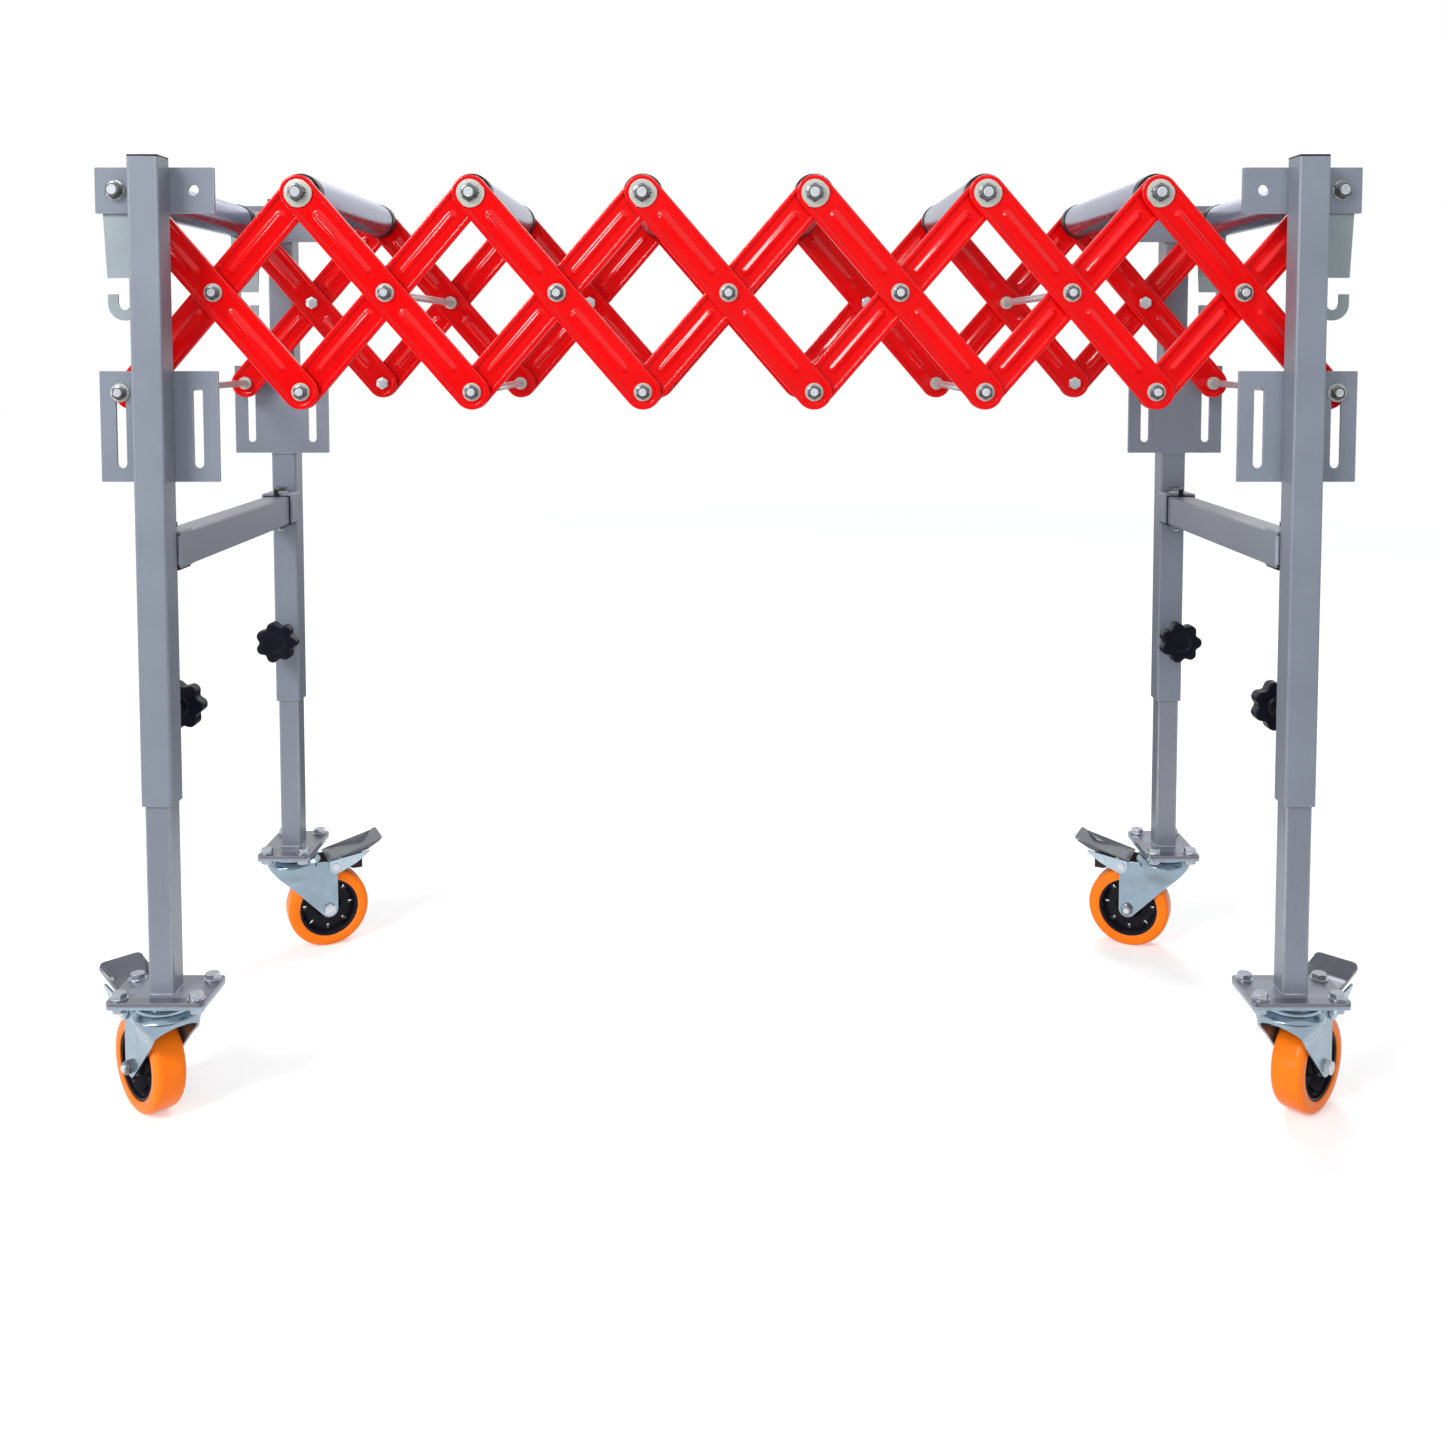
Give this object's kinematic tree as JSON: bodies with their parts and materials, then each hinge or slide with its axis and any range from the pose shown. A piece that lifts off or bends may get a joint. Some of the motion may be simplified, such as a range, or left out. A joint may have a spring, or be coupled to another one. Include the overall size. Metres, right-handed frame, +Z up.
{
  "type": "flexible roller conveyor",
  "caption": "Expanding roller conveyor: a scissor lattice with free rollers between two end frames on height-adjustable legs with braked swivel casters.",
  "frame": {"origin": "on the floor, at the middle of the space that the opened conveyor takes up", "axes": "+X along the conveyor, from the left end to the right, +Y from the front side to the rear side, +Z up"},
  "size_m": [1.2926, 0.526, 0.948],
  "materials": {
    "grey_paint": "satin powder coat",
    "red_paint": "gloss powder coat",
    "zinc_tube": "bright zinc",
    "zinc_sheet": "blue zinc",
    "zinc_bolts": "bright zinc",
    "black_plastic": "moulded",
    "caster_wheel": "cast tread on a moulded core",
    "bare_leg": "bright zinc"
  },
  "bodies": {
    "left_frame": {"left_upper_legs": "grey_paint", "left_crossbar": "grey_paint", "left_plastic_caps": "black_plastic", "left_frame_bolts": "zinc_bolts", "left_coupling_hooks": "zinc_sheet"},
    "right_frame": {"right_upper_legs": "grey_paint", "right_crossbar": "grey_paint", "right_plastic_caps": "black_plastic", "right_frame_bolts": "zinc_bolts", "right_coupling_hooks": "zinc_sheet"},
    "falling_1": {"falling_arms_1": "red_paint", "pivot_pins_1": "zinc_bolts"},
    "rising_1": {"rising_arms_1": "red_paint", "left_slot_pin": "zinc_bolts"},
    "falling_2": {"falling_arms_2": "red_paint", "pivot_pins_2": "zinc_bolts"},
    "rising_2": {"rising_arms_2": "red_paint"},
    "falling_3": {"falling_arms_3": "red_paint", "pivot_pins_3": "zinc_bolts"},
    "rising_3": {"rising_arms_3": "red_paint"},
    "falling_4": {"falling_arms_4": "red_paint", "pivot_pins_4": "zinc_bolts"},
    "rising_4": {"rising_arms_4": "red_paint"},
    "falling_5": {"falling_arms_5": "red_paint", "pivot_pins_5": "zinc_bolts"},
    "rising_5": {"rising_arms_5": "red_paint"},
    "falling_6": {"falling_arms_6": "red_paint", "pivot_pins_6": "zinc_bolts"},
    "rising_6": {"rising_arms_6": "red_paint"},
    "falling_7": {"falling_arms_7": "red_paint", "pivot_pins_7": "zinc_bolts"},
    "rising_7": {"rising_arms_7": "red_paint"},
    "roller_1": {"roller_1": "zinc_tube"},
    "roller_2": {"roller_2": "zinc_tube"},
    "roller_3": {"roller_3": "zinc_tube"},
    "roller_4": {"roller_4": "zinc_tube"},
    "roller_5": {"roller_5": "zinc_tube"},
    "roller_6": {"roller_6": "zinc_tube"},
    "roller_7": {"roller_7": "zinc_tube"},
    "roller_8": {"roller_8": "zinc_tube"},
    "front_left_lower_leg": {"front_left_lower_leg": "bare_leg"},
    "front_left_caster_fork": {"front_left_caster_fork": "zinc_sheet"},
    "front_left_caster_wheel": {"front_left_caster_wheel": "caster_wheel"},
    "front_left_brake_pedal": {"front_left_brake_pedal": "zinc_sheet"},
    "front_left_height_knob": {"front_left_height_knob": "black_plastic"},
    "front_right_lower_leg": {"front_right_lower_leg": "bare_leg"},
    "front_right_caster_fork": {"front_right_caster_fork": "zinc_sheet"},
    "front_right_caster_wheel": {"front_right_caster_wheel": "caster_wheel"},
    "front_right_brake_pedal": {"front_right_brake_pedal": "zinc_sheet"},
    "front_right_height_knob": {"front_right_height_knob": "black_plastic"},
    "rear_left_lower_leg": {"rear_left_lower_leg": "bare_leg"},
    "rear_left_caster_fork": {"rear_left_caster_fork": "zinc_sheet"},
    "rear_left_caster_wheel": {"rear_left_caster_wheel": "caster_wheel"},
    "rear_left_brake_pedal": {"rear_left_brake_pedal": "zinc_sheet"},
    "rear_left_height_knob": {"rear_left_height_knob": "black_plastic"},
    "rear_right_lower_leg": {"rear_right_lower_leg": "bare_leg"},
    "rear_right_caster_fork": {"rear_right_caster_fork": "zinc_sheet"},
    "rear_right_caster_wheel": {"rear_right_caster_wheel": "caster_wheel"},
    "rear_right_brake_pedal": {"rear_right_brake_pedal": "zinc_sheet"},
    "rear_right_height_knob": {"rear_right_height_knob": "black_plastic"}
  },
  "joints": [
    {"name": "left_end_pivot", "type": "hinge", "parent": "left_frame", "child": "falling_1", "pos_m": [-0.59101, -0.01651, 0.9173], "axis": [0, 1, 0], "range_deg": [0, 26.3]},
    {"name": "crossing_1", "type": "hinge", "parent": "falling_1", "child": "rising_1", "pos_m": [-0.50658, -0.01651, 0.81964], "axis": [0, 1, 0], "range_deg": [-52.1, 0]},
    {"name": "top_pivot_1", "type": "hinge", "parent": "rising_1", "child": "falling_2", "pos_m": [-0.42215, -0.01651, 0.9173], "axis": [0, 1, 0], "range_deg": [0, 52.1]},
    {"name": "crossing_2", "type": "hinge", "parent": "falling_2", "child": "rising_2", "pos_m": [-0.33772, -0.01651, 0.81964], "axis": [0, 1, 0], "range_deg": [-52.1, 0]},
    {"name": "top_pivot_2", "type": "hinge", "parent": "rising_2", "child": "falling_3", "pos_m": [-0.25329, -0.01651, 0.9173], "axis": [0, 1, 0], "range_deg": [0, 52.1]},
    {"name": "crossing_3", "type": "hinge", "parent": "falling_3", "child": "rising_3", "pos_m": [-0.16886, -0.01651, 0.81964], "axis": [0, 1, 0], "range_deg": [-52.1, 0]},
    {"name": "top_pivot_3", "type": "hinge", "parent": "rising_3", "child": "falling_4", "pos_m": [-0.08443, -0.01651, 0.9173], "axis": [0, 1, 0], "range_deg": [0, 52.1]},
    {"name": "crossing_4", "type": "hinge", "parent": "falling_4", "child": "rising_4", "pos_m": [0, -0.01651, 0.81964], "axis": [0, 1, 0], "range_deg": [-52.1, 0]},
    {"name": "top_pivot_4", "type": "hinge", "parent": "rising_4", "child": "falling_5", "pos_m": [0.08443, -0.01651, 0.9173], "axis": [0, 1, 0], "range_deg": [0, 52.1]},
    {"name": "crossing_5", "type": "hinge", "parent": "falling_5", "child": "rising_5", "pos_m": [0.16886, -0.01651, 0.81964], "axis": [0, 1, 0], "range_deg": [-52.1, 0]},
    {"name": "top_pivot_5", "type": "hinge", "parent": "rising_5", "child": "falling_6", "pos_m": [0.25329, -0.01651, 0.9173], "axis": [0, 1, 0], "range_deg": [0, 52.1]},
    {"name": "crossing_6", "type": "hinge", "parent": "falling_6", "child": "rising_6", "pos_m": [0.33772, -0.01651, 0.81964], "axis": [0, 1, 0], "range_deg": [-52.1, 0]},
    {"name": "top_pivot_6", "type": "hinge", "parent": "rising_6", "child": "falling_7", "pos_m": [0.42215, -0.01651, 0.9173], "axis": [0, 1, 0], "range_deg": [0, 52.1]},
    {"name": "crossing_7", "type": "hinge", "parent": "falling_7", "child": "rising_7", "pos_m": [0.50658, -0.01651, 0.81964], "axis": [0, 1, 0], "range_deg": [-52.1, 0]},
    {"name": "fold", "type": "hinge", "parent": "rising_7", "child": "right_frame", "pos_m": [0.59101, -0.01651, 0.9173], "axis": [0, 1, 0], "range_deg": [0, 25.8]},
    {"name": "roller_1_spin", "type": "hinge", "parent": "left_frame", "child": "roller_1", "pos_m": [-0.59101, -0.01651, 0.9173], "axis": [0, 1, 0], "continuous": true},
    {"name": "roller_2_spin", "type": "hinge", "parent": "falling_2", "child": "roller_2", "pos_m": [-0.42215, -0.01651, 0.9173], "axis": [0, 1, 0], "continuous": true},
    {"name": "roller_3_spin", "type": "hinge", "parent": "falling_3", "child": "roller_3", "pos_m": [-0.25329, -0.01651, 0.9173], "axis": [0, 1, 0], "continuous": true},
    {"name": "roller_4_spin", "type": "hinge", "parent": "falling_4", "child": "roller_4", "pos_m": [-0.08443, -0.01651, 0.9173], "axis": [0, 1, 0], "continuous": true},
    {"name": "roller_5_spin", "type": "hinge", "parent": "falling_5", "child": "roller_5", "pos_m": [0.08443, -0.01651, 0.9173], "axis": [0, 1, 0], "continuous": true},
    {"name": "roller_6_spin", "type": "hinge", "parent": "falling_6", "child": "roller_6", "pos_m": [0.25329, -0.01651, 0.9173], "axis": [0, 1, 0], "continuous": true},
    {"name": "roller_7_spin", "type": "hinge", "parent": "falling_7", "child": "roller_7", "pos_m": [0.42215, -0.01651, 0.9173], "axis": [0, 1, 0], "continuous": true},
    {"name": "roller_8_spin", "type": "hinge", "parent": "right_frame", "child": "roller_8", "pos_m": [0.59101, -0.01651, 0.9173], "axis": [0, 1, 0], "continuous": true},
    {"name": "front_left_height_slide", "type": "slide", "parent": "left_frame", "child": "front_left_lower_leg", "axis": [0, 0, 1], "range_m": [-0.144, 0.186]},
    {"name": "front_left_swivel", "type": "hinge", "parent": "front_left_lower_leg", "child": "front_left_caster_fork", "pos_m": [-0.55351, -0.23001, 0.12], "axis": [0, 0, 1], "continuous": true},
    {"name": "front_left_wheel_spin", "type": "hinge", "parent": "front_left_caster_fork", "child": "front_left_caster_wheel", "pos_m": [-0.58228, -0.20222, 0.05], "axis": [-0.6947, -0.7193, 0], "continuous": true},
    {"name": "front_left_brake", "type": "hinge", "parent": "front_left_caster_fork", "child": "front_left_brake_pedal", "pos_m": [-0.58804, -0.19667, 0.1045], "axis": [-0.6947, -0.7193, 0], "range_deg": [0, 11]},
    {"name": "front_left_knob_turn", "type": "hinge", "parent": "left_frame", "child": "front_left_height_knob", "pos_m": [-0.55351, -0.21501, 0.405], "axis": [0, 1, 0], "continuous": true},
    {"name": "front_right_height_slide", "type": "slide", "parent": "right_frame", "child": "front_right_lower_leg", "axis": [0, 0, 1], "range_m": [-0.144, 0.186]},
    {"name": "front_right_swivel", "type": "hinge", "parent": "front_right_lower_leg", "child": "front_right_caster_fork", "pos_m": [0.55351, -0.23001, 0.12], "axis": [0, 0, 1], "continuous": true},
    {"name": "front_right_wheel_spin", "type": "hinge", "parent": "front_right_caster_fork", "child": "front_right_caster_wheel", "pos_m": [0.58228, -0.20222, 0.05], "axis": [-0.6947, 0.7193, 0], "continuous": true},
    {"name": "front_right_brake", "type": "hinge", "parent": "front_right_caster_fork", "child": "front_right_brake_pedal", "pos_m": [0.58804, -0.19667, 0.1045], "axis": [-0.6947, 0.7193, 0], "range_deg": [0, 11]},
    {"name": "front_right_knob_turn", "type": "hinge", "parent": "right_frame", "child": "front_right_height_knob", "pos_m": [0.55351, -0.21501, 0.405], "axis": [0, 1, 0], "continuous": true},
    {"name": "rear_left_height_slide", "type": "slide", "parent": "left_frame", "child": "rear_left_lower_leg", "axis": [0, 0, 1], "range_m": [-0.144, 0.186]},
    {"name": "rear_left_swivel", "type": "hinge", "parent": "rear_left_lower_leg", "child": "rear_left_caster_fork", "pos_m": [-0.55351, 0.19699, 0.12], "axis": [0, 0, 1], "continuous": true},
    {"name": "rear_left_wheel_spin", "type": "hinge", "parent": "rear_left_caster_fork", "child": "rear_left_caster_wheel", "pos_m": [-0.51726, 0.21389, 0.05], "axis": [-0.4226, 0.9063, 0], "continuous": true},
    {"name": "rear_left_brake", "type": "hinge", "parent": "rear_left_caster_fork", "child": "rear_left_brake_pedal", "pos_m": [-0.51001, 0.21727, 0.1045], "axis": [-0.4226, 0.9063, 0], "range_deg": [0, 11]},
    {"name": "rear_left_knob_turn", "type": "hinge", "parent": "left_frame", "child": "rear_left_height_knob", "pos_m": [-0.55351, 0.18199, 0.405], "axis": [0, 1, 0], "continuous": true},
    {"name": "rear_right_height_slide", "type": "slide", "parent": "right_frame", "child": "rear_right_lower_leg", "axis": [0, 0, 1], "range_m": [-0.144, 0.186]},
    {"name": "rear_right_swivel", "type": "hinge", "parent": "rear_right_lower_leg", "child": "rear_right_caster_fork", "pos_m": [0.55351, 0.19699, 0.12], "axis": [0, 0, 1], "continuous": true},
    {"name": "rear_right_wheel_spin", "type": "hinge", "parent": "rear_right_caster_fork", "child": "rear_right_caster_wheel", "pos_m": [0.51726, 0.21389, 0.05], "axis": [-0.4226, -0.9063, 0], "continuous": true},
    {"name": "rear_right_brake", "type": "hinge", "parent": "rear_right_caster_fork", "child": "rear_right_brake_pedal", "pos_m": [0.51001, 0.21727, 0.1045], "axis": [-0.4226, -0.9063, 0], "range_deg": [0, 11]},
    {"name": "rear_right_knob_turn", "type": "hinge", "parent": "right_frame", "child": "rear_right_height_knob", "pos_m": [0.55351, 0.18199, 0.405], "axis": [0, 1, 0], "continuous": true}
  ],
  "couplings": [
    {"joint": "left_end_pivot", "follows": "fold", "ratio": 1},
    {"joint": "crossing_1", "follows": "fold", "ratio": -2},
    {"joint": "top_pivot_1", "follows": "fold", "ratio": 2},
    {"joint": "crossing_2", "follows": "fold", "ratio": -2},
    {"joint": "top_pivot_2", "follows": "fold", "ratio": 2},
    {"joint": "crossing_3", "follows": "fold", "ratio": -2},
    {"joint": "top_pivot_3", "follows": "fold", "ratio": 2},
    {"joint": "crossing_4", "follows": "fold", "ratio": -2},
    {"joint": "top_pivot_4", "follows": "fold", "ratio": 2},
    {"joint": "crossing_5", "follows": "fold", "ratio": -2},
    {"joint": "top_pivot_5", "follows": "fold", "ratio": 2},
    {"joint": "crossing_6", "follows": "fold", "ratio": -2},
    {"joint": "top_pivot_6", "follows": "fold", "ratio": 2},
    {"joint": "crossing_7", "follows": "fold", "ratio": -2}
  ]
}
